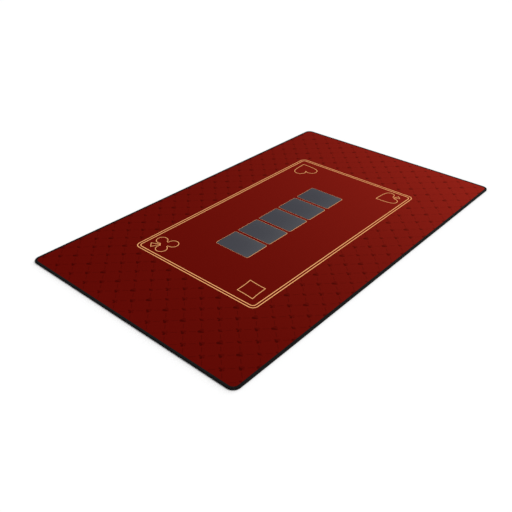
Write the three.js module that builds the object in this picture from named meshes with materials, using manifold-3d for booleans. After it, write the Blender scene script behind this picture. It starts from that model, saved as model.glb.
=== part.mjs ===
// A flexible poker mat that lies on any table and folds in half with its playing face inside.
// Units are millimetres. +X runs along the long side, +Y away from the player, +Z up.
// The origin is the centre of the underside.
//
// The mat is a foam rubber base, a printed cloth bonded on top of it, and a binding of close
// stitches that wraps the cut edge. All three are flexible and run through the fold in one
// piece, so each is divided where it crosses the fold:
//
//   left half | fold strip | right half
//
// The fold turns about two lines level with the top of the stitches, one along each side of the
// fold strip. Each line turns about a quarter of a turn, so the strip ends up standing as the
// back of the fold, and the right half lies over the left half.

import * as THREE from 'three';
import { mergeVertices } from 'three/addons/utils/BufferGeometryUtils.js';
import Module from 'manifold-3d';

const wasm = await Module();
wasm.setup();

// Driving dimensions
const MAT_LENGTH = 1000;
const MAT_WIDTH = 600;
const CORNER_RADIUS = 17;
const BASE_THICKNESS = 3.25;
const CLOTH_THICKNESS = 0.75;
const BINDING_WIDTH = 5.5;
const BINDING_WALL = 0.5;
const STITCH_SINK = 0.25;
const STITCH_RISE = 0.25;
const FOLD_STRIP_LENGTH = 8;
const BODY_GAP = 0.3;
const CORNER_SEGMENTS = 12;

// Worked-out dimensions
const HALF_LENGTH = MAT_LENGTH / 2;
const HALF_WIDTH = MAT_WIDTH / 2;
const MAT_THICKNESS = BASE_THICKNESS + CLOTH_THICKNESS;
const CLOTH_EDGE_TOP = MAT_THICKNESS - STITCH_SINK;
const BINDING_TOP = MAT_THICKNESS + STITCH_RISE;
const FOLD_LINE = FOLD_STRIP_LENGTH / 2;
const CUTTER_OVERRUN = 5;

const clothMaterial = { color: 0x7a1c12, roughness: 0.85, metalness: 0 };
const baseMaterial = { color: 0x161618, roughness: 0.9, metalness: 0 };
const bindingMaterial = { color: 0x1d1d20, roughness: 0.75, metalness: 0 };

const mat = new THREE.Group();
mat.name = 'poker_mat';

// A span is the stretch of the mat from x0 to x1. A span that reaches an end of the mat
// has rounded corners there, and any other end is cut square.
function makeSpan(x0, x1) {
  return {
    x0: x0 > -HALF_LENGTH ? x0 + BODY_GAP / 2 : x0,
    x1: x1 < HALF_LENGTH ? x1 - BODY_GAP / 2 : x1,
    leftEnd: x0 <= -HALF_LENGTH,
    rightEnd: x1 >= HALF_LENGTH,
  };
}

function stretchCutEnds(span) {
  return {
    ...span,
    x0: span.leftEnd ? span.x0 : span.x0 - CUTTER_OVERRUN,
    x1: span.rightEnd ? span.x1 : span.x1 + CUTTER_OVERRUN,
  };
}

// Plan outline of a span, set in by inset from the mat's outer edge
function planShape(span, inset) {
  const radius = CORNER_RADIUS - inset;
  const front = -HALF_WIDTH + inset;
  const back = HALF_WIDTH - inset;
  const left = span.leftEnd ? span.x0 + inset : span.x0;
  const right = span.rightEnd ? span.x1 - inset : span.x1;
  const shape = new THREE.Shape();
  if (span.rightEnd) {
    shape.absarc(right - radius, front + radius, radius, -Math.PI / 2, 0);
    shape.absarc(right - radius, back - radius, radius, 0, Math.PI / 2);
  } else {
    shape.moveTo(right, front);
    shape.lineTo(right, back);
  }
  if (span.leftEnd) {
    shape.absarc(left + radius, back - radius, radius, Math.PI / 2, Math.PI);
    shape.absarc(left + radius, front + radius, radius, Math.PI, Math.PI * 1.5);
  } else {
    shape.lineTo(left, back);
    shape.lineTo(left, front);
  }
  shape.closePath();
  return shape;
}

function toManifold(geometry) {
  geometry.deleteAttribute('normal');
  geometry.deleteAttribute('uv');
  const merged = mergeVertices(geometry, 1e-4);
  const mesh = new wasm.Mesh({
    numProp: 3,
    vertProperties: new Float32Array(merged.attributes.position.array),
    triVerts: new Uint32Array(merged.index.array),
  });
  return new wasm.Manifold(mesh);
}

function toGeometry(solid) {
  const mesh = solid.getMesh();
  const geometry = new THREE.BufferGeometry();
  geometry.setAttribute('position', new THREE.BufferAttribute(mesh.vertProperties, 3));
  geometry.setIndex(new THREE.BufferAttribute(mesh.triVerts, 1));
  geometry.computeVertexNormals();
  return geometry;
}

function slab(span, inset, bottom, top) {
  const geometry = new THREE.ExtrudeGeometry(planShape(span, inset), {
    depth: top - bottom,
    bevelEnabled: false,
    curveSegments: CORNER_SEGMENTS,
  });
  geometry.translate(0, 0, bottom);
  return toManifold(geometry);
}

// Box that keeps the piece of a solid between two corners of the plan
function planBox(x0, x1, y0, y1) {
  const height = MAT_THICKNESS * 4;
  const geometry = new THREE.BoxGeometry(x1 - x0, y1 - y0, height);
  geometry.translate((x0 + x1) / 2, (y0 + y1) / 2, 0);
  return toManifold(geometry);
}

function addNode(name, solid, look) {
  const node = new THREE.Mesh(toGeometry(solid), new THREE.MeshStandardMaterial(look));
  node.name = name;
  mat.add(node);
}

// The stitches pull in flush with the underside, so the base is thinner under its edge.
function addBase(name, span) {
  const body = slab(span, BINDING_WALL, STITCH_SINK, BASE_THICKNESS);
  const sole = slab(span, BINDING_WIDTH, 0, STITCH_SINK);
  addNode(`${name}_base`, body.add(sole), baseMaterial);
}

// The stitches also press the cloth down along its edge and stand a little proud of it.
function addCloth(name, span) {
  const sheet = slab(span, BINDING_WALL, BASE_THICKNESS, CLOTH_EDGE_TOP);
  const face = slab(span, BINDING_WIDTH, CLOTH_EDGE_TOP, MAT_THICKNESS);
  addNode(`${name}_cloth`, sheet.add(face), clothMaterial);
}

// The binding is a channel that wraps over the cloth, round the edge and under the base.
function bindingChannel(span) {
  const cutter = stretchCutEnds(span);
  const outside = slab(span, 0, 0, BINDING_TOP);
  const inside = slab(cutter, BINDING_WALL, STITCH_SINK, CLOTH_EDGE_TOP);
  const opening = slab(cutter, BINDING_WIDTH, -MAT_THICKNESS, MAT_THICKNESS * 2);
  return outside.subtract(inside).subtract(opening);
}

function addBinding(name, span) {
  const channel = bindingChannel(span);
  const reach = CUTTER_OVERRUN;
  const sideStart = span.leftEnd ? span.x0 + CORNER_RADIUS : span.x0 - reach;
  const sideEnd = span.rightEnd ? span.x1 - CORNER_RADIUS : span.x1 + reach;
  const frontSide = planBox(sideStart, sideEnd, -HALF_WIDTH - reach, 0);
  const backSide = planBox(sideStart, sideEnd, 0, HALF_WIDTH + reach);
  addNode(`${name}_binding_front`, channel.intersect(frontSide), bindingMaterial);
  addNode(`${name}_binding_back`, channel.intersect(backSide), bindingMaterial);
  if (span.leftEnd || span.rightEnd) {
    const endStart = span.leftEnd ? span.x0 - reach : sideEnd;
    const endStop = span.leftEnd ? sideStart : span.x1 + reach;
    const endSide = planBox(endStart, endStop, -HALF_WIDTH - reach, HALF_WIDTH + reach);
    addNode(`${name}_binding_end`, channel.intersect(endSide), bindingMaterial);
  }
}

function addSpan(name, x0, x1) {
  const span = makeSpan(x0, x1);
  addBase(name, span);
  addCloth(name, span);
  addBinding(name, span);
}

addSpan('left_half', -HALF_LENGTH, -FOLD_LINE);
addSpan('fold_strip', -FOLD_LINE, FOLD_LINE);
addSpan('right_half', FOLD_LINE, HALF_LENGTH);

export default mat;
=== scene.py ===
import math

import bmesh
import bpy
import numpy as np
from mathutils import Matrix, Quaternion, Vector
from mathutils.geometry import delaunay_2d_cdt


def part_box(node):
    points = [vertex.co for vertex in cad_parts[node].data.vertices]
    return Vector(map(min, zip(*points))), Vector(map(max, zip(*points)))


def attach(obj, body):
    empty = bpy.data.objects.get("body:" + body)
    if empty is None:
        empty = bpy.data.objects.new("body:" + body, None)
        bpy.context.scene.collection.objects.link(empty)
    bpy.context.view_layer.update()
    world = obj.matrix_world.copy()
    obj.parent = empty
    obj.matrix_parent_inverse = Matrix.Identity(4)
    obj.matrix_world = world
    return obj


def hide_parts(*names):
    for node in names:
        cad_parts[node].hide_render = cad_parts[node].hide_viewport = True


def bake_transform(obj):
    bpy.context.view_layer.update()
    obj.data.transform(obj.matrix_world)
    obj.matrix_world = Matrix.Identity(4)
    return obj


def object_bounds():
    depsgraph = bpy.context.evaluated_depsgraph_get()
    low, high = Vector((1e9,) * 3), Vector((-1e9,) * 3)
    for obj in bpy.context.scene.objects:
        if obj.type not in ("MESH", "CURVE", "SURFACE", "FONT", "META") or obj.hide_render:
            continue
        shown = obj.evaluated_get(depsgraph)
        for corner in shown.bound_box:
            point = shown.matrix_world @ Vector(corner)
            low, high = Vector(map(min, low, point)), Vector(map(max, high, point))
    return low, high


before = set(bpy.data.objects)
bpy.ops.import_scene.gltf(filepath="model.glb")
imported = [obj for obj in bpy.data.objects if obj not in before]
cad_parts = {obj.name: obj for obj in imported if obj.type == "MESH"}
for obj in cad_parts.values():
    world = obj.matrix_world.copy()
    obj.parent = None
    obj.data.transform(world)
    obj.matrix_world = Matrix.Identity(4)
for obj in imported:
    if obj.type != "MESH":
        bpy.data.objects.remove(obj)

# The looks of a flexible poker mat: a printed cloth on foam rubber with a stitched edge.
# Meshes are worked out in millimetres in the frame's axes, and made in metres.
MM = 0.001

cad_low, cad_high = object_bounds()

# Sizes that come from the frame
HALF_LENGTH = cad_high.x / MM
HALF_WIDTH = cad_high.y / MM
CLOTH_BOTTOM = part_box("left_half_cloth")[0].z / MM
CLOTH_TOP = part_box("left_half_cloth")[1].z / MM
STITCH_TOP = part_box("left_half_binding_front")[1].z / MM

# Sizes of the mat's edge
CORNER_RADIUS = 17.0
STITCH_REACH = 5.5
STITCH_SINK = 0.25

# The mat is made in four lengths: two halves, and the two sides of the fold between them.
# The fold reaches this far from the middle and is cut in steps of this length.
FOLD_REACH = 12.0
BEND_STEP = 0.75


# ---------------------------------------------------------------- sizes of the print

# The middle of the print is a little to the right of the mat's middle and behind it
PRINT_X, PRINT_Y = 1.4, 0.3

# Half the length, half the width and the corner radius of each line of the frame
FRAME_LINES = ((312.6, 178.1, 13.0), (306.0, 171.5, 8.0))
FRAME_LINE_WIDTH = 2.0

CARD_COUNT = 5
CARD_PITCH = 75.0
CARD_HALF_X, CARD_HALF_Y = 34.0, 48.9
CARD_RISE = 1.4
CARD_RADIUS = 5.0
# The outline of a card field is thinner at its sides
CARD_LINE_SIDE, CARD_LINE_TOP, CARD_LINE_FOOT = 0.35, 0.5, 0.95

# The suit sign in each corner of the frame: its middle, its height and its turn in degrees
CORNER_CLUB = (-263.0, 130.1, 63.5, -135)
CORNER_HEART = (265.2, 135.1, 59.0, 135)
CORNER_SPADE = (268.5, -129.1, 60.5, 45)
CORNER_DIAMOND = (-263.7, -130.1, 65.0, -45)
SUIT_LINE_WIDTH = 1.45

# The lattice of small signs and dashes outside the frame
LATTICE_PITCH = 24.41
LATTICE_X, LATTICE_Y = 14.2, -2.3
SIGN_SIZE = 13.2
SMALL_DIAMOND_WIDTH = 0.72
DASH_LENGTH = 13.0
DASH_WIDTH = 1.5


# ---------------------------------------------------------------- small tools

# Corners of a square round the origin, anticlockwise
SQUARE = ((-1, -1), (1, -1), (1, 1), (-1, 1))
# Lengths below this count as nothing
TINY = 1e-6


def arc(cx, cy, radius, start, stop, steps):
    """Points on an arc, angles in degrees."""
    angles = np.radians(np.linspace(start, stop, steps + 1))
    return [(cx + radius * math.cos(a), cy + radius * math.sin(a)) for a in angles]


def rounded_box(cx, cy, half_x, half_y, radius, steps=8):
    """Outline of a rectangle with rounded corners, anticlockwise."""
    inner_x = half_x - radius
    inner_y = half_y - radius
    points = []
    for sx, sy, start in ((1, -1, -90), (1, 1, 0), (-1, 1, 90), (-1, -1, 180)):
        points += arc(cx + sx * inner_x, cy + sy * inner_y, radius, start, start + 90, steps)
    return points


def clip_to_span(points, x0, x1):
    """The part of an outline that lies between x0 and x1."""
    for limit, side in ((x0, 1), (x1, -1)):
        kept = []
        for (ax, ay), (bx, by) in zip(points, points[1:] + points[:1]):
            a_in, b_in = (ax - limit) * side >= 0, (bx - limit) * side >= 0
            if a_in:
                kept.append((ax, ay))
            if a_in != b_in:
                share = (limit - ax) / (bx - ax)
                kept.append((limit, ay + (by - ay) * share))
        points = kept
    return points


def inset_of(x, y):
    """Distance of a point in plan from the mat's outer edge, inwards."""
    dx = np.abs(x) - (HALF_LENGTH - CORNER_RADIUS)
    dy = np.abs(y) - (HALF_WIDTH - CORNER_RADIUS)
    outside = np.hypot(np.maximum(dx, 0), np.maximum(dy, 0))
    inside = np.minimum(np.maximum(dx, dy), 0)
    return CORNER_RADIUS - outside - inside


def smoothstep(value, low, high):
    """Goes smoothly from 0 at low to 1 at high."""
    share = np.clip((value - low) / (high - low), 0, 1)
    return share * share * (3 - 2 * share)


def make_mesh(name, points, faces, materials, face_materials=None, smooth=True):
    """A mesh object from points in millimetres."""
    mesh = bpy.data.meshes.new(name)
    mesh.from_pydata([tuple(p) for p in np.asarray(points, float) * MM], [], faces)
    for material in materials:
        mesh.materials.append(material)
    if face_materials is not None:
        mesh.polygons.foreach_set("material_index", np.asarray(face_materials, np.int32))
    mesh.polygons.foreach_set("use_smooth", np.full(len(mesh.polygons), smooth))
    mesh.update()
    piece = bpy.data.objects.new(name, mesh)
    bpy.context.scene.collection.objects.link(piece)
    return piece


def add_plan_uv(piece):
    """UVs that are the place in plan in metres, so that patterns run on from piece to piece."""
    mesh = piece.data
    loop_points = np.zeros(len(mesh.loops), np.int32)
    mesh.loops.foreach_get("vertex_index", loop_points)
    places = np.zeros(len(mesh.vertices) * 3)
    mesh.vertices.foreach_get("co", places)
    uv = places.reshape(-1, 3)[loop_points, :2]
    mesh.uv_layers.new(name="plan").data.foreach_set("uv", uv.ravel())


# ---------------------------------------------------------------- materials

class Nodes:
    """Short calls for building a node material."""

    def __init__(self, name):
        self.material = bpy.data.materials.new(name)
        self.material.use_nodes = True
        self.tree = self.material.node_tree
        self.shader = self.tree.nodes["Principled BSDF"]

    def add(self, kind, inputs=None, **settings):
        node = self.tree.nodes.new(kind)
        for key, value in settings.items():
            setattr(node, key, value)
        for key, value in (inputs or {}).items():
            self.put(node.inputs[key], value)
        return node

    def put(self, socket, value):
        if isinstance(value, bpy.types.NodeSocket):
            self.tree.links.new(value, socket)
        else:
            socket.default_value = value

    def math(self, operation, a, b=0.0):
        return self.add("ShaderNodeMath", {0: a, 1: b}, operation=operation).outputs[0]

    def mix(self, share, a, b, blend="MIX"):
        node = self.add("ShaderNodeMix", data_type="RGBA", blend_type=blend)
        self.put(node.inputs[0], share)
        self.put(node.inputs[6], a)
        self.put(node.inputs[7], b)
        return node.outputs[2]

    def ramp(self, value, low, high, low_to=0.0, high_to=1.0):
        node = self.add("ShaderNodeMapRange", {0: value, 1: low, 2: high, 3: low_to, 4: high_to})
        return node.outputs[0]

    def noise(self, vector, scale, detail=2.0):
        inputs = {"Vector": vector, "Scale": scale, "Detail": detail}
        return self.add("ShaderNodeTexNoise", inputs).outputs["Fac"]

    def grey(self, level):
        return self.add("ShaderNodeCombineColor", {0: level, 1: level, 2: level}).outputs[0]

    def shaded(self, colour, shade):
        return self.mix(1.0, colour, self.grey(shade), "MULTIPLY")

    def uv(self, layer):
        return self.add("ShaderNodeUVMap", uv_map=layer).outputs[0]

    def split(self, vector):
        node = self.add("ShaderNodeSeparateXYZ", {0: vector})
        return node.outputs[0], node.outputs[1]

    def surface(self, colour, roughness, specular):
        self.put(self.shader.inputs["Base Color"], colour)
        self.put(self.shader.inputs["Roughness"], roughness)
        self.put(self.shader.inputs["Specular IOR Level"], specular)

    def bump(self, height, distance, strength=1.0):
        inputs = {"Strength": strength, "Distance": distance, "Height": height}
        self.put(self.shader.inputs["Normal"], self.add("ShaderNodeBump", inputs).outputs[0])


def srgb(red, green, blue):
    """A colour for a node from the usual 0 to 255 numbers."""
    def linear(level):
        level /= 255
        return level / 12.92 if level <= 0.04045 else ((level + 0.055) / 1.055) ** 2.4
    return (linear(red), linear(green), linear(blue), 1.0)


def scaled(colour, by):
    """A colour made brighter or darker."""
    return (colour[0] * by, colour[1] * by, colour[2] * by, 1.0)


# How bright the lights make a level white surface
LIGHT_LEVEL = 1.12


def printed(red, green, blue):
    """A colour for the cloth that looks like these 0 to 255 numbers under the lights."""
    return scaled(srgb(red, green, blue), 1 / LIGHT_LEVEL)


# The printed ground fades from a dark red at the left to a brighter red at the near right
GROUND_DARK = printed(97, 11.3, 6)
GROUND_BRIGHT = printed(147, 34.8, 25)
FADE_FAR_SHARE = 0.44
FADE_POWER = 1.5
GOLD = printed(250, 181, 118)

# The lattice is printed in the same red, darkened by these
DASH_TONE = 0.72
SIGN_LIGHT_TONE = 0.79
SIGN_DARK_TONE = 0.52

# Each card field fades to a paler grey towards its right and its foot
FIELD_GREY = printed(69, 69.6, 76.2)
FIELD_PALE = printed(86, 87.5, 92)
FIELD_RIGHT_POWER, FIELD_RIGHT_SHARE = 4.0, 0.465
FIELD_FOOT_POWER, FIELD_FOOT_SHARE = 3.0, 0.535

# Most of a noise's values lie in this range
NOISE_RANGE = (0.3, 0.7)

# Patterns of the cloth: how fine each one is and the shades that it goes between. The weave's
# shades are painted shade in its hollows and painted highlight on its crests
WEAVE_PITCH = 0.9 * MM
WEAVE_DEPTH = 0.00004
WEAVE_PAINTED_SHADES = (0.96, 1.03)
MOTTLE_SCALE = 260.0
MOTTLE_SHADES = (0.975, 1.025)
FIBRE_SCALE = 1500.0
FIBRE_SHADES = (0.96, 1.04)
CLOTH_ROUGHNESS = 0.9

# Thread: its twist in radians for each metre, the number of its plies, and its shades: random ones
# for each strand, and painted shade between the plies with painted highlight on them
THREAD_BLACK = srgb(16, 16, 16)
THREAD_TWIST = 4200.0
THREAD_PLIES = 2.0
STRAND_SHADES = (0.7, 1.35)
PLY_PAINTED_SHADES = (0.82, 1.12)
PLY_DEPTH = 0.00005
THREAD_ROUGHNESS, THREAD_SHINE = 0.62, 0.06

# Foam rubber: its cells, and the dust that makes it paler and duller
RUBBER_BLACK = srgb(38, 38, 40)
CELL_SCALE = 1400.0
CELL_DEPTH = 0.00006
DUST_SCALE = 22.0
DUST_SHADES = (0.85, 1.35)
RUBBER_ROUGHNESS = (0.72, 0.9)
RUBBER_SHINE = 0.3


def ground_colour(n, tone):
    """The faded red, darkened by tone where a sign or dash is printed over it."""
    x, y = n.split(n.uv("plan"))
    along = n.ramp(x, -HALF_LENGTH * MM, HALF_LENGTH * MM)
    across = n.ramp(y, HALF_WIDTH * MM, -HALF_WIDTH * MM, FADE_FAR_SHARE, 1.0)
    share = n.math("MULTIPLY", n.math("POWER", along, FADE_POWER), across)
    return n.mix(share, scaled(GROUND_DARK, tone), scaled(GROUND_BRIGHT, tone))


def field_colour(n):
    """The grey of a card field, which fades in the same way in each field."""
    x, y = n.split(n.uv("plan"))
    row_start = (PRINT_X - CARD_COUNT * CARD_PITCH / 2) * MM
    pitch = CARD_PITCH * MM
    across = n.math("FLOORED_MODULO", n.math("SUBTRACT", x, row_start), pitch)
    middle_y = PRINT_Y + CARD_RISE
    top, foot = (middle_y + CARD_HALF_Y) * MM, (middle_y - CARD_HALF_Y) * MM
    right_share = n.math("POWER", n.ramp(across, 0, pitch), FIELD_RIGHT_POWER)
    foot_share = n.math("POWER", n.ramp(y, top, foot), FIELD_FOOT_POWER)
    to_right = n.math("MULTIPLY", right_share, FIELD_RIGHT_SHARE)
    to_foot = n.math("MULTIPLY", foot_share, FIELD_FOOT_SHARE)
    return n.mix(n.math("ADD", to_right, to_foot), FIELD_GREY, FIELD_PALE)


def weave_height(n):
    """A plain weave: threads along x pass over and under threads along y."""
    x, y = n.split(n.uv("plan"))
    turn = math.pi / WEAVE_PITCH
    along = n.math("SINE", n.math("MULTIPLY", x, turn))
    across = n.math("SINE", n.math("MULTIPLY", y, turn))
    checks = n.math("MULTIPLY", along, across)
    return n.math("ABSOLUTE", checks)


def cloth_material(name, colour):
    """Printed polyester in a fine weave, with painted shade in the weave's hollows and painted
    highlight on its crests. The colour is given as a function of the nodes.
    """
    n = Nodes(name)
    base = colour(n)
    plan = n.uv("plan")
    mottle = n.ramp(n.noise(plan, MOTTLE_SCALE, 3.0), *NOISE_RANGE, *MOTTLE_SHADES)
    fibres = n.ramp(n.noise(plan, FIBRE_SCALE, 1.0), *NOISE_RANGE, *FIBRE_SHADES)
    weave = weave_height(n)
    wear = n.math("MULTIPLY", mottle, fibres)
    # The weave darkens the colour in its hollows and lightens it on its crests: painted shade and
    # painted highlight
    shade = n.math("MULTIPLY", wear, n.ramp(weave, 0, 1, *WEAVE_PAINTED_SHADES))
    n.surface(n.shaded(base, shade), CLOTH_ROUGHNESS, 0.0)
    n.bump(weave, WEAVE_DEPTH)
    return n.material


def thread_material():
    """Black polyester thread of twisted plies, each strand a little lighter or darker, with
    painted shade between the plies and painted highlight on them.
    """
    n = Nodes("edge_thread")
    along, around = n.split(n.uv("strand"))
    tone = n.add("ShaderNodeAttribute", attribute_name="tone").outputs["Fac"]
    turn = n.math("MULTIPLY", around, 2 * math.pi)
    twist = n.math("ADD", n.math("MULTIPLY", along, THREAD_TWIST), turn)
    ply = n.math("SINE", n.math("MULTIPLY", twist, THREAD_PLIES))
    # Each strand's own random tone, times painted shade between the plies and painted highlight on
    # them
    shade = n.math("MULTIPLY", n.ramp(tone, 0, 1, *STRAND_SHADES), n.ramp(ply, -1, 1, *PLY_PAINTED_SHADES))
    n.surface(n.shaded(THREAD_BLACK, shade), THREAD_ROUGHNESS, THREAD_SHINE)
    n.bump(ply, PLY_DEPTH, 0.6)
    return n.material


def rubber_material():
    """Black foam rubber with fine open cells and patches of dust."""
    n = Nodes("foam_rubber")
    plan = n.uv("plan")
    cells = n.add("ShaderNodeTexVoronoi", {"Vector": plan, "Scale": CELL_SCALE})
    dust = n.noise(plan, DUST_SCALE, 6.0)
    colour = n.shaded(RUBBER_BLACK, n.ramp(dust, 0.35, 0.75, *DUST_SHADES))
    n.surface(colour, n.ramp(dust, 0.3, 0.8, *RUBBER_ROUGHNESS), RUBBER_SHINE)
    n.bump(cells.outputs["Distance"], CELL_DEPTH, 0.7)
    return n.material


CLOTH_LOOKS = {
    "ground": cloth_material("print_ground", lambda n: ground_colour(n, 1.0)),
    "dash": cloth_material("print_dash", lambda n: ground_colour(n, DASH_TONE)),
    "sign_light": cloth_material("print_sign_light", lambda n: ground_colour(n, SIGN_LIGHT_TONE)),
    "sign_dark": cloth_material("print_sign_dark", lambda n: ground_colour(n, SIGN_DARK_TONE)),
    "gold": cloth_material("print_gold", lambda n: GOLD),
    "field": cloth_material("print_card_field", field_colour),
}
CLOTH_KEYS = list(CLOTH_LOOKS)
THREAD = thread_material()
RUBBER = rubber_material()


# ---------------------------------------------------------------- the print

# The outlines of the four suit signs stand upright in a box about 1 high round the origin.
# A lobe is its middle, its radius and where its arc starts, and for a club also where it stops.
# The spade's numbers are for an upside down one.
TIP = 0.5
LOBE_STOP = -15
HEART_LOBE = (0.265, 0.235, 0.265, 176)
SPADE_LOBE = (0.262, 0.14, 0.208, 150)
SPADE_STEM = [(0.0, 0.5), (0.09, 0.5), (0.015, 0.3)]
CLUB_STEM = [(0.0, -0.52), (0.12, -0.52), (0.012, -0.19)]
CLUB_SIDE_LOBE = (0.275, -0.135, 0.21, 195, 479)
CLUB_NOTCH = [(0.128, 0.074)]
CLUB_TOP_LOBE = (0, 0.265, 0.21, -49, 90)
DIAMOND_HALF_WIDTH = 0.445
DIAMOND_HOLLOW = 0.16


def lobe_and_point(cx, cy, radius, start, steps):
    """Right side of a heart: a round lobe that runs on into a square point at its tip."""
    lobe = arc(cx, cy, radius, start, LOBE_STOP, steps)
    x0, y0 = lobe[-1]
    lean = math.radians(LOBE_STOP)
    run = (TIP - x0 + y0) / (math.sin(lean) + math.cos(lean))
    bend_x, bend_y = x0 + run * math.sin(lean), y0 - run * math.cos(lean)
    side = []
    for share in np.linspace(0, 1, steps + 1)[1:]:
        near, middle, far = (1 - share) ** 2, 2 * share * (1 - share), share ** 2
        side.append((near * x0 + middle * bend_x, near * y0 + middle * bend_y - far * TIP))
    return lobe + side


def both_sides(right):
    """A closed outline, anticlockwise, from the points of its right side, top first."""
    left = [(-x, y) for x, y in right if x > TINY]
    return left + [(x, y) for x, y in reversed(right)]


def heart_outline(steps):
    return both_sides(lobe_and_point(*HEART_LOBE, steps))


def spade_outline(steps):
    """A heart turned over, with a stem that widens downwards from a point."""
    body = lobe_and_point(*SPADE_LOBE, steps)
    return both_sides([(x, -y) for x, y in reversed(SPADE_STEM + body)])


def diamond_outline(steps):
    """Four corners with slightly hollow sides between them."""
    corners = [(0.0, TIP), (-DIAMOND_HALF_WIDTH, 0.0), (0.0, -TIP), (DIAMOND_HALF_WIDTH, 0.0)]
    points = []
    for (ax, ay), (bx, by) in zip(corners, corners[1:] + corners[:1]):
        for i in range(steps):
            share = i / steps
            pull = 1 - DIAMOND_HOLLOW * share * (1 - share)
            points.append(((ax + (bx - ax) * share) * pull, (ay + (by - ay) * share) * pull))
    return points


def club_outline(steps):
    """Three round lobes round a hub, on a stem that widens from a point."""
    side_lobe = arc(*CLUB_SIDE_LOBE, 2 * steps)
    top_lobe = arc(*CLUB_TOP_LOBE, steps)
    return both_sides(list(reversed(CLUB_STEM + side_lobe + CLUB_NOTCH + top_lobe)))


def placed(outline, cx, cy, size, turn=0.0):
    """An outline scaled to size, turned by degrees and moved."""
    c, s = math.cos(math.radians(turn)) * size, math.sin(math.radians(turn)) * size
    return [(cx + x * c - y * s, cy + x * s + y * c) for x, y in outline]


# A round joint in a line has eight even corners
JOINT_ARC = (11, 326, 7)


def stroke(points, width, look):
    """A closed line as one quad for each side with a round joint at each corner."""
    shapes = []
    for (ax, ay), (bx, by) in zip(points, points[1:] + points[:1]):
        length = math.hypot(bx - ax, by - ay)
        if length < TINY:
            continue
        nx, ny = (ay - by) / length * width / 2, (bx - ax) / length * width / 2
        shapes.append((look, [(ax - nx, ay - ny), (bx - nx, by - ny),
                              (bx + nx, by + ny), (ax + nx, ay + ny)]))
        shapes.append((look, arc(ax, ay, width / 2, *JOINT_ARC)))
    return shapes


def corner_suits():
    """One suit sign in each corner of the frame, its foot or point towards that corner."""
    shapes = []
    for outline, place in (
        (club_outline(steps=12), CORNER_CLUB),
        (heart_outline(steps=12), CORNER_HEART),
        (spade_outline(steps=12), CORNER_SPADE),
        (diamond_outline(steps=4), CORNER_DIAMOND),
    ):
        shapes += stroke(placed(outline, *place), SUIT_LINE_WIDTH, "gold")
    return shapes


def card_fields():
    """A row of grey fields for cards, each on a gold one that is a little larger."""
    y = PRINT_Y + CARD_RISE
    lift = (CARD_LINE_FOOT - CARD_LINE_TOP) / 2
    half_x = CARD_HALF_X - CARD_LINE_SIDE
    half_y = CARD_HALF_Y - (CARD_LINE_FOOT + CARD_LINE_TOP) / 2
    radius = CARD_RADIUS - CARD_LINE_SIDE
    shapes = []
    for i in range(CARD_COUNT):
        x = PRINT_X + (i - (CARD_COUNT - 1) / 2) * CARD_PITCH
        shapes.append(("gold", rounded_box(x, y, CARD_HALF_X, CARD_HALF_Y, CARD_RADIUS)))
        shapes.append(("field", rounded_box(x, y + lift, half_x, half_y, radius)))
    return shapes


def frame_lines():
    """The double line: each is a gold shape with a slightly smaller one in the ground's look."""
    half = FRAME_LINE_WIDTH / 2
    shapes = []
    for half_x, half_y, radius in FRAME_LINES:
        for look, out in (("gold", half), ("ground", -half)):
            outline = rounded_box(PRINT_X, PRINT_Y, half_x + out, half_y + out, radius + out)
            shapes.append((look, outline))
    return shapes


def under_frame(x, y):
    """True well inside the frame, where its plain ground hides the lattice."""
    half_x, half_y, _ = FRAME_LINES[0]
    return abs(x - PRINT_X) < half_x - LATTICE_PITCH and abs(y - PRINT_Y) < half_y - LATTICE_PITCH


def lattice():
    """Signs on a diagonal lattice outside the frame, with a dash between neighbours."""
    columns = math.ceil(HALF_LENGTH / LATTICE_PITCH) + 1
    rows = math.ceil(HALF_WIDTH / LATTICE_PITCH) + 1
    diamond = [(x * SMALL_DIAMOND_WIDTH, y) for x, y in diamond_outline(steps=1)]
    signs = [club_outline(steps=4), spade_outline(steps=5), heart_outline(steps=5), diamond]
    dash = [(x * DASH_LENGTH / 2, y * DASH_WIDTH / 2) for x, y in SQUARE]
    shapes = []
    for row in range(-rows, rows + 1):
        for column in range(-columns, columns + 1):
            x = LATTICE_X + column * LATTICE_PITCH
            y = LATTICE_Y + row * LATTICE_PITCH
            if under_frame(x, y):
                continue
            has_sign = (row + column) % 2 == 0
            if has_sign:
                sign = signs[column % len(signs)]
                left = clip_to_span(sign, -1.0, 0.0)
                shapes.append(("sign_light", placed(sign, x, y, SIGN_SIZE)))
                shapes.append(("sign_dark", placed(left, x, y, SIGN_SIZE)))
            middle_x, middle_y = x + LATTICE_PITCH / 2, y + LATTICE_PITCH / 2
            turn = 45 if has_sign else -45
            shapes.append(("dash", placed(dash, middle_x, middle_y, 1, turn)))
    return shapes


# Later shapes are printed over earlier ones
PRINT = lattice() + frame_lines() + corner_suits() + card_fields()


# ---------------------------------------------------------------- sheets

# The longest step along an outline's sides, and the steps in each of its corners
EDGE_STEP = 12.0
EDGE_CORNER_STEPS = 12
# Points nearer than this are one when shapes are cut into triangles
MERGE_DISTANCE = 1e-4
# Points that agree to this many decimals are one when faces are joined
PLACE_DIGITS = 3
# Points nearer to a cut than this, in metres, lie on it
CUT_TOLERANCE = 1e-7


def with_steps(points, step):
    """A closed outline with extra points along its long sides."""
    made = []
    for (ax, ay), (bx, by) in zip(points, points[1:] + points[:1]):
        count = max(1, math.ceil(math.hypot(bx - ax, by - ay) / step - TINY))
        made += [(ax + (bx - ax) * i / count, ay + (by - ay) * i / count) for i in range(count)]
    return made


def span_outline(inset, x0, x1):
    """Outline of the mat between two lines across it, set in from its outer edge."""
    half_x, half_y, radius = HALF_LENGTH - inset, HALF_WIDTH - inset, CORNER_RADIUS - inset
    whole = rounded_box(0, 0, half_x, half_y, radius, EDGE_CORNER_STEPS)
    return with_steps(clip_to_span(whole, x0, x1), EDGE_STEP)


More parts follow.
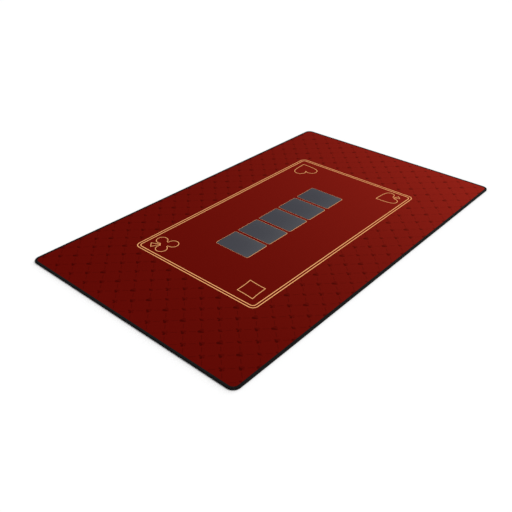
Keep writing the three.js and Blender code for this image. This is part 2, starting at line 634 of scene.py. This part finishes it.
def triangulate(shapes):
    """Triangles that fit every outline. Each comes with the last shape that it lies in."""
    points, faces = [], []
    for shape in shapes:
        faces.append(list(range(len(points), len(points) + len(shape))))
        points += shape
    flat = [Vector(p) for p in points]
    made, _, triangles, _, _, owners = delaunay_2d_cdt(flat, [], faces, 0, MERGE_DISTANCE, True)
    plan = np.array([(p.x, p.y) for p in made])
    kept = [(tuple(t), max(o)) for t, o in zip(triangles, owners) if 0 in o]
    return plan, kept


def close_sheet(points, faces, other_side):
    """Gives an open surface its other side, flat at a height, and the wall between them."""
    used = sorted({i for face in faces for i in face})
    renumbered = {old: new for new, old in enumerate(used)}
    faces = [tuple(renumbered[i] for i in face) for face in faces]
    points = points[used]
    sides = {(face[i - 1], face[i]) for face in faces for i in range(len(face))}
    onward = {a: b for a, b in sides if (b, a) not in sides}
    loop = [min(onward)]
    while onward[loop[-1]] != loop[0]:
        loop.append(onward[loop[-1]])
    opposite = points[loop].copy()
    opposite[:, 2] = other_side
    first = len(points)
    for i in range(len(loop)):
        j = (i + 1) % len(loop)
        faces.append((loop[j], loop[i], first + i, first + j))
    faces.append(tuple(range(first + len(loop) - 1, first - 1, -1)))
    return np.vstack([points, opposite]), faces


def cut_for_bending(piece, x0, x1):
    """Cuts a piece along lines across the mat, so that it can turn a round bend."""
    mesh = bmesh.new()
    mesh.from_mesh(piece.data)
    for x in np.arange(x0, x1, BEND_STEP)[1:]:
        bmesh.ops.bisect_plane(
            mesh,
            geom=mesh.verts[:] + mesh.edges[:] + mesh.faces[:],
            dist=CUT_TOLERANCE,
            plane_co=(x * MM, 0, 0),
            plane_no=(1, 0, 0),
        )
    mesh.to_mesh(piece.data)
    mesh.free()


# ---------------------------------------------------------------- the cloth

CLOTH_INSET = 0.95
# Extra outlines where the cloth curves down, as distances in from the mat's edge
EDGE_LOOPS = (9.5, 8.0, 7.0, 6.2, 5.6, 5.0, 4.4)
SHARP_ANGLE = 50


def cloth_height(x, y):
    """The cloth lies flat and is drawn down where the edge stitches hold it."""
    hold = 1 - smoothstep(inset_of(x, y), EDGE_LOOPS[-1], EDGE_LOOPS[0])
    return CLOTH_TOP - STITCH_SINK * hold


def cloth_piece(name, x0, x1):
    """One length of the cloth: its printed top, its cut edge and its flat underside."""
    shapes = [("ground", span_outline(CLOTH_INSET, x0, x1))]
    shapes += [("ground", span_outline(inset, x0, x1)) for inset in EDGE_LOOPS]
    for look, points in PRINT:
        xs = [p[0] for p in points]
        if max(xs) > x0 and min(xs) < x1:
            shapes.append((look, points))
    plan, triangles = triangulate([points for _, points in shapes])
    top = np.column_stack([plan, cloth_height(plan[:, 0], plan[:, 1])])
    points, faces = close_sheet(top, [t for t, _ in triangles], CLOTH_BOTTOM)
    looks = [CLOTH_KEYS.index(shapes[owner][0]) for _, owner in triangles]
    looks += [CLOTH_KEYS.index("ground")] * (len(faces) - len(looks))
    piece = make_mesh(name, points, faces, list(CLOTH_LOOKS.values()), looks)
    piece.data.set_sharp_from_angle(angle=math.radians(SHARP_ANGLE))
    add_plan_uv(piece)
    return piece


# ---------------------------------------------------------------- the foam rubber base

PAD_PITCH = 4.0
GROOVE_HALF = 0.45
BASE_INSET = 0.9


def whole_pads(x0, x1):
    """Lower left corners of the pads that lie between x0 and x1 and clear of the stitches."""
    reach_x = math.floor((HALF_LENGTH - STITCH_REACH) / PAD_PITCH) * PAD_PITCH
    reach_y = math.floor((HALF_WIDTH - STITCH_REACH) / PAD_PITCH) * PAD_PITCH
    rows = []
    for y in np.arange(-reach_y, reach_y, PAD_PITCH):
        outer_y = y if y < 0 else y + PAD_PITCH
        row = []
        for x in np.arange(max(x0, -reach_x), min(x1, reach_x), PAD_PITCH):
            outer_x = x if x < 0 else x + PAD_PITCH
            if inset_of(outer_x, outer_y) > STITCH_REACH:
                row.append((x, y))
        rows.append(row)
    return rows


def pad_faces(rows):
    """Low square pads, each with sloped sides that meet those of its neighbours in a groove."""
    points, faces = [], []
    low, high = GROOVE_HALF, PAD_PITCH - GROOVE_HALF
    for x, y in (pad for row in rows for pad in row):
        n = len(points)
        for near, far, z in ((0, PAD_PITCH, STITCH_SINK), (low, high, 0)):
            points += [(x + near, y + near, z), (x + near, y + far, z),
                       (x + far, y + far, z), (x + far, y + near, z)]
        faces.append((n + 4, n + 5, n + 6, n + 7))
        for k in range(4):
            m = (k + 1) % 4
            faces.append((n + k, n + m, n + 4 + m, n + 4 + k))
    return points, faces


def row_outline(row):
    """Outline of a row of pads, with a point at each pad's corner."""
    xs = [x for x, _ in row] + [row[-1][0] + PAD_PITCH]
    y = row[0][1]
    return [(x, y) for x in xs] + [(x, y + PAD_PITCH) for x in reversed(xs)]


def merge_points(points, faces):
    """Joins points that share a place."""
    places = {}
    rounded = [tuple(round(float(value), PLACE_DIGITS) for value in point) for point in points]
    new_index = [places.setdefault(point, len(places)) for point in rounded]
    return np.array(list(places)), [tuple(new_index[i] for i in face) for face in faces]


def base_piece(name, x0, x1):
    """One length of the base: a flat top, and an underside of low pads."""
    rows = whole_pads(x0, x1)
    points, faces = pad_faces(rows)
    shapes = [span_outline(BASE_INSET, x0, x1)] + [row_outline(row) for row in rows]
    plan, triangles = triangulate(shapes)
    first = len(points)
    faces += [tuple(first + i for i in reversed(t)) for t, owner in triangles if owner == 0]
    points += [(x, y, STITCH_SINK) for x, y in plan]
    points, faces = close_sheet(*merge_points(points, faces), CLOTH_BOTTOM)
    piece = make_mesh(name, points, faces, [RUBBER], smooth=False)
    add_plan_uv(piece)
    return piece


# ---------------------------------------------------------------- the edge stitches

STITCH_PITCH = 1.0
STRAND_WIDTH = 1.14
STRAND_THICKNESS = 0.5
STRAND_LEAN = 0.7
# The inner end of a strand sinks into the face: distances past the stitches' reach, and depths
STRAND_END = ((0.25, 0.42), (-0.15, 0.12), (-0.7, 0.0))
STRAND_FLAT_TO = 3.0
STRAND_TURN_IN = 1.1
# The first ring of a strand has this share of its width, and each next ring is a step wider
END_WIDTH, END_WIDTH_STEP = 0.6, 0.2
# How unlike the strands are: in place along the edge, where they end, in height and in width
PLACE_SPREAD = 0.04
REACH_SPREAD = 0.08
HEIGHT_SPREAD = 0.02
WIDTH_SPREAD = 0.05
# Only the parts of a strand further in than this are moved by its spread of reach
REACH_FROM = 4
CORD_INSET = 5.4
CORD_RADIUS = 0.24
CORD_SWAY = 0.2
CORD_LIFT = 0.06
CORD_TONE_LOW, CORD_TONE_RANGE = 0.25, 0.5
CORD_STEPS = 4
TUBE_SIDES = 6

# The outer edge is measured as a length round the mat, from the left end of its front side
SIDE_X = 2 * (HALF_LENGTH - CORNER_RADIUS)
SIDE_Y = 2 * (HALF_WIDTH - CORNER_RADIUS)
QUARTER = CORNER_RADIUS * math.pi / 2
END_LENGTH = SIDE_Y + 2 * QUARTER
RIGHT_END = SIDE_X
BACK = RIGHT_END + END_LENGTH
LEFT_END = BACK + SIDE_X

# The straight sides in their order round the mat, each with the corner that it leads to
SIDES = ((SIDE_X, 1, -1), (SIDE_Y, 1, 1), (SIDE_X, -1, 1), (SIDE_Y, -1, -1))


def edge_at(s):
    """Places on the outer edge for lengths round it, the turn there and whether it curves."""
    x, y, turn = np.zeros_like(s), np.zeros_like(s), np.zeros_like(s)
    curved = np.zeros(s.shape, bool)
    s = np.mod(s, 2 * (SIDE_X + END_LENGTH))
    start, heading = 0.0, 0.0
    for side, corner_x, corner_y in SIDES:
        centre_x = corner_x * SIDE_X / 2
        centre_y = corner_y * SIDE_Y / 2
        past = s - start - side
        here = (s >= start) & (past < QUARTER)
        angle = heading + np.maximum(past, 0) / CORNER_RADIUS
        back = np.minimum(past, 0)
        x = np.where(here, centre_x + CORNER_RADIUS * np.sin(angle) + back * np.cos(angle), x)
        y = np.where(here, centre_y - CORNER_RADIUS * np.cos(angle) + back * np.sin(angle), y)
        turn = np.where(here, angle, turn)
        curved |= here & (past > 0)
        start += side + QUARTER
        heading += math.pi / 2
    return x, y, turn, curved


def wrap_profile():
    """Middle line of a strand over the edge, as distance in from it and height."""
    half = STRAND_THICKNESS / 2
    top = STITCH_TOP - half
    over = [(STITCH_REACH + past, top - depth) for past, depth in STRAND_END]
    over.append((STRAND_FLAT_TO, top))
    for angle in np.radians([90, 60, 30, 0]):
        over.append((half + STRAND_TURN_IN * (1 - math.cos(angle)),
                     top - STRAND_TURN_IN * (1 - math.sin(angle))))
    under = [(inset, STITCH_TOP - z) for inset, z in reversed(over)]
    return np.array(over + under)


def tubes(centre, across, normal, length):
    """Tubes round middle lines. Each array holds tube, ring and then the axes."""
    count, rings = centre.shape[:2]
    turns = 2 * np.pi * (np.arange(TUBE_SIDES) + 0.5) / TUBE_SIDES
    points = centre[:, :, None] + across[:, :, None] * np.cos(turns)[:, None]
    points = points + normal[:, :, None] * np.sin(turns)[:, None]
    faces, uvs = [], []
    around = np.arange(TUBE_SIDES + 1) / TUBE_SIDES
    for tube in range(count):
        first = tube * rings * TUBE_SIDES
        for r in range(rings - 1):
            a = first + r * TUBE_SIDES
            b = a + TUBE_SIDES
            near, far = length[tube, r] * MM, length[tube, r + 1] * MM
            for k in range(TUBE_SIDES):
                m = (k + 1) % TUBE_SIDES
                faces.append((a + k, a + m, b + m, b + k))
                low, high = around[k], around[k + 1]
                uvs += [(near, low), (near, high), (far, high), (far, low)]
        last = first + (rings - 1) * TUBE_SIDES
        faces.append(tuple(range(first + TUBE_SIDES - 1, first - 1, -1)))
        faces.append(tuple(range(last, last + TUBE_SIDES)))
        uvs += [(0.0, 0.0)] * (2 * TUBE_SIDES)
    return points.reshape(-1, 3), faces, uvs


def strand_path():
    """A strand's middle line over the edge, the length along it and its slope."""
    profile = wrap_profile()
    steps = np.hypot(*np.diff(profile, axis=0).T)
    run = np.concatenate([[0], np.cumsum(steps)])
    slope = np.gradient(profile, run, axis=0)
    slope /= np.hypot(*slope.T)[:, None]
    return profile, run, slope


def strands(s0, s1, rng):
    """Close strands of thread that wrap the edge between two lengths round it."""
    count = round((s1 - s0) / STITCH_PITCH)
    profile, run, slope = strand_path()
    even = s0 + (np.arange(count) + 0.5) * (s1 - s0) / count
    middle = even + rng.normal(0, PLACE_SPREAD, count)
    lean = STRAND_LEAN * (run / run[-1] - 0.5)
    x, y, turn, curved = edge_at(middle[:, None] + lean)
    inset, z = profile.T
    inset = inset + rng.normal(0, REACH_SPREAD, (count, 1)) * (inset > REACH_FROM)
    z = z + rng.normal(0, HEIGHT_SPREAD, (count, 1)) * np.sign(z - STITCH_TOP / 2)
    inward_x, inward_y = -np.sin(turn), np.cos(turn)
    centre = np.stack([x + inward_x * inset, y + inward_y * inset, z], -1)
    crowding = np.where(curved, 1 - inset / CORNER_RADIUS, 1.0)
    rings = np.arange(len(run))
    ends = np.minimum(1.0, END_WIDTH + END_WIDTH_STEP * np.minimum(rings, rings[::-1]))
    width = STRAND_WIDTH / 2 * rng.normal(1, WIDTH_SPREAD, (count, 1)) * crowding * ends
    across = np.stack([np.cos(turn) * width, np.sin(turn) * width, np.zeros_like(width)], -1)
    out, up = slope[:, 1], -slope[:, 0]
    thick = STRAND_THICKNESS / 2
    normal = np.stack([inward_x * out, inward_y * out, up + np.zeros_like(inward_x)], -1) * thick
    points, faces, uvs = tubes(centre, across, normal, np.broadcast_to(run, inset.shape))
    tone = np.repeat(rng.random(count), len(run) * TUBE_SIDES)
    return points, faces, uvs, tone


def border_cord(s0, s1, over, rng):
    """The thread that ties the strands' inner ends, on top of the mat or under it."""
    count = round((s1 - s0) / STITCH_PITCH)
    steps = np.linspace(0, count, count * CORD_STEPS + 1)
    x, y, turn, _ = edge_at(s0 + steps * (s1 - s0) / count)
    sway = 2 * np.pi * steps
    inset = CORD_INSET + CORD_SWAY * np.sin(sway)
    z = STITCH_TOP - CORD_RADIUS + CORD_LIFT * np.cos(sway)
    if not over:
        z = STITCH_TOP - z
    inward = np.stack([-np.sin(turn), np.cos(turn), np.zeros_like(turn)], -1)
    centre = np.stack([x, y, z], -1) + inward * inset[:, None]
    up = np.zeros_like(inward)
    up[:, 2] = CORD_RADIUS
    points, faces, uvs = tubes(centre[None], inward[None] * CORD_RADIUS, up[None], steps[None])
    tone = np.repeat(rng.random(len(steps)), TUBE_SIDES) * CORD_TONE_RANGE + CORD_TONE_LOW
    return points, faces, uvs, tone


def stitching(name, stretches, seed):
    """The edge stitches along one or more stretches of the outer edge."""
    rng = np.random.default_rng(seed)
    parts = []
    for s0, s1 in stretches:
        parts.append(strands(s0, s1, rng))
        parts.append(border_cord(s0, s1, True, rng))
        parts.append(border_cord(s0, s1, False, rng))
    points, faces, uvs, tone = [], [], [], []
    for part_points, part_faces, part_uvs, part_tone in parts:
        first = sum(len(p) for p in points)
        points.append(part_points)
        faces += [tuple(first + i for i in face) for face in part_faces]
        uvs += part_uvs
        tone.append(part_tone)
    piece = make_mesh(name, np.vstack(points), faces, [THREAD])
    piece.data.uv_layers.new(name="strand").data.foreach_set("uv", np.ravel(uvs))
    tones = piece.data.attributes.new("tone", "FLOAT", "POINT")
    tones.data.foreach_set("value", np.concatenate(tone))
    return piece


# ---------------------------------------------------------------- the pieces and what they ride on

def on_bend(piece, x0, x1):
    """Cuts a piece across in steps and bakes its place into its points."""
    cut_for_bending(piece, x0, x1)
    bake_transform(piece)


def carry(piece, part):
    """Puts a piece on the half that it belongs to, or cuts a piece of the fold across in steps."""
    if part == "left":
        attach(piece, "left_half")
    elif part == "fold_left":
        on_bend(piece, -FOLD_REACH, 0)
    elif part == "fold_right":
        on_bend(piece, 0, FOLD_REACH)
    else:
        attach(piece, "right_half")


# Each length of the sheets: the CAD nodes that it replaces, and where it starts and ends
PARTS = {
    "left": ("left_half", -HALF_LENGTH, -FOLD_REACH),
    "fold_left": ("fold_strip", -FOLD_REACH, 0),
    "fold_right": ("fold_strip", 0, FOLD_REACH),
    "right": ("right_half", FOLD_REACH, HALF_LENGTH),
}


def add_sheets():
    """The base and the cloth in four lengths. Those of the cloth lie on those of the base."""
    for part, (node, x0, x1) in PARTS.items():
        base = base_piece(f"base_{part}", x0, x1)
        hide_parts(f"{node}_base")
        carry(base, part)
        cloth = cloth_piece(f"cloth_{part}", x0, x1)
        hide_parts(f"{node}_cloth")
        carry(cloth, part)


def front(x):
    """Length round the edge to a place on the front side."""
    return x + SIDE_X / 2


def back(x):
    """Length round the edge to a place on the back side."""
    return BACK + SIDE_X / 2 - x


def add_stitching():
    """The stitches of each side and end. Those at the fold are cut across in steps like the
    sheets.
    """
    fold = FOLD_REACH
    reach = SIDE_X / 2
    for seed, (name, part, stretches, nodes) in enumerate((
        ("left_front", "left", [(front(-reach), front(-fold))], ["left_half_binding_front"]),
        ("left_back", "left", [(back(-fold), back(-reach))], ["left_half_binding_back"]),
        ("left_end", "left", [(LEFT_END, LEFT_END + END_LENGTH)], ["left_half_binding_end"]),
        ("fold_left", "fold_left", [(front(-fold), front(0)), (back(0), back(-fold))],
         ["fold_strip_binding_front", "fold_strip_binding_back"]),
        ("fold_right", "fold_right", [(front(0), front(fold)), (back(fold), back(0))],
         ["fold_strip_binding_front", "fold_strip_binding_back"]),
        ("right_front", "right", [(front(fold), front(reach))], ["right_half_binding_front"]),
        ("right_back", "right", [(back(reach), back(fold))], ["right_half_binding_back"]),
        ("right_end", "right", [(RIGHT_END, RIGHT_END + END_LENGTH)], ["right_half_binding_end"]),
    )):
        piece = stitching(f"stitching_{name}", stretches, seed)
        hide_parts(*nodes)
        carry(piece, part)


# ---------------------------------------------------------------- the studio

# Light on a level white surface: all round, from a high soft key and from a low soft fill
WORLD_LEVEL = 0.45
KEY_LEVEL = 0.55
KEY_FROM = (0.55, -0.6, 1.5)
KEY_SPREAD = 45
FILL_LEVEL = 0.12
FILL_FROM = (1.0, 0.0, 0.42)
FILL_SPREAD = 40
FLOOR_WHITE = 0.905
FLOOR_REACH = 20000
FLOOR_DROP = 0.1

CAMERA_TARGET = (-0.15885, -0.05142, 0.0)
CAMERA_DISTANCE = 1.4112
CAMERA_AZIMUTH = -49.25
CAMERA_ELEVATION = 33.114
CAMERA_ROLL = 0.55
CAMERA_LENS = 44.68
CAMERA_SENSOR = 36


def add_camera():
    """A camera that looks at its target from a direction and a distance."""
    camera = bpy.data.objects.new("camera", bpy.data.cameras.new("camera"))
    bpy.context.scene.collection.objects.link(camera)
    camera.data.sensor_width = CAMERA_SENSOR
    camera.data.lens = CAMERA_LENS
    azimuth, elevation = math.radians(CAMERA_AZIMUTH), math.radians(CAMERA_ELEVATION)
    away = Vector((math.sin(azimuth) * math.cos(elevation),
                   -math.cos(azimuth) * math.cos(elevation), math.sin(elevation)))
    camera.location = Vector(CAMERA_TARGET) + away * CAMERA_DISTANCE
    roll = Quaternion((0, 0, 1), math.radians(CAMERA_ROLL))
    camera.rotation_euler = (away.to_track_quat("Z", "Y") @ roll).to_euler()
    bpy.context.scene.camera = camera


def add_floor():
    """A plain, dull white floor just under the mat."""
    n = Nodes("floor")
    speckle = n.noise(n.uv("plan"), 40.0)
    n.surface(n.grey(n.ramp(speckle, *NOISE_RANGE, FLOOR_WHITE * 0.998, FLOOR_WHITE)), 1.0, 0.0)
    corners = [(x * FLOOR_REACH, y * FLOOR_REACH, -FLOOR_DROP) for x, y in SQUARE]
    floor = make_mesh("floor", corners, [(0, 1, 2, 3)], [n.material])
    add_plan_uv(floor)


def add_surroundings():
    """Even light from all round, which looks white where it is seen past the floor."""
    world = bpy.data.worlds.new("studio")
    world.use_nodes = True
    tree = world.node_tree
    background = tree.nodes["Background"]
    background.inputs["Color"].default_value = (1, 1, 1, 1)
    strength = tree.nodes.new("ShaderNodeMix")
    strength.inputs[2].default_value = WORLD_LEVEL
    strength.inputs[3].default_value = 1.0
    light_path = tree.nodes.new("ShaderNodeLightPath")
    tree.links.new(light_path.outputs["Is Camera Ray"], strength.inputs[0])
    tree.links.new(strength.outputs[0], background.inputs["Strength"])
    bpy.context.scene.world = world


def add_lights():
    """Two soft suns. Each adds its level to the light on a level surface."""
    for name, level, source, spread in (
        ("key", KEY_LEVEL, KEY_FROM, KEY_SPREAD),
        ("fill", FILL_LEVEL, FILL_FROM, FILL_SPREAD),
    ):
        towards = Vector(source).normalized()
        lamp = bpy.data.objects.new(name, bpy.data.lights.new(name, "SUN"))
        lamp.data.energy = level * math.pi / towards.z
        lamp.data.angle = math.radians(spread)
        lamp.rotation_euler = towards.to_track_quat("Z", "Y").to_euler()
        bpy.context.scene.collection.objects.link(lamp)
    bpy.context.scene.view_settings.view_transform = "Standard"


add_sheets()
add_stitching()
add_camera()
add_floor()
add_surroundings()
add_lights()
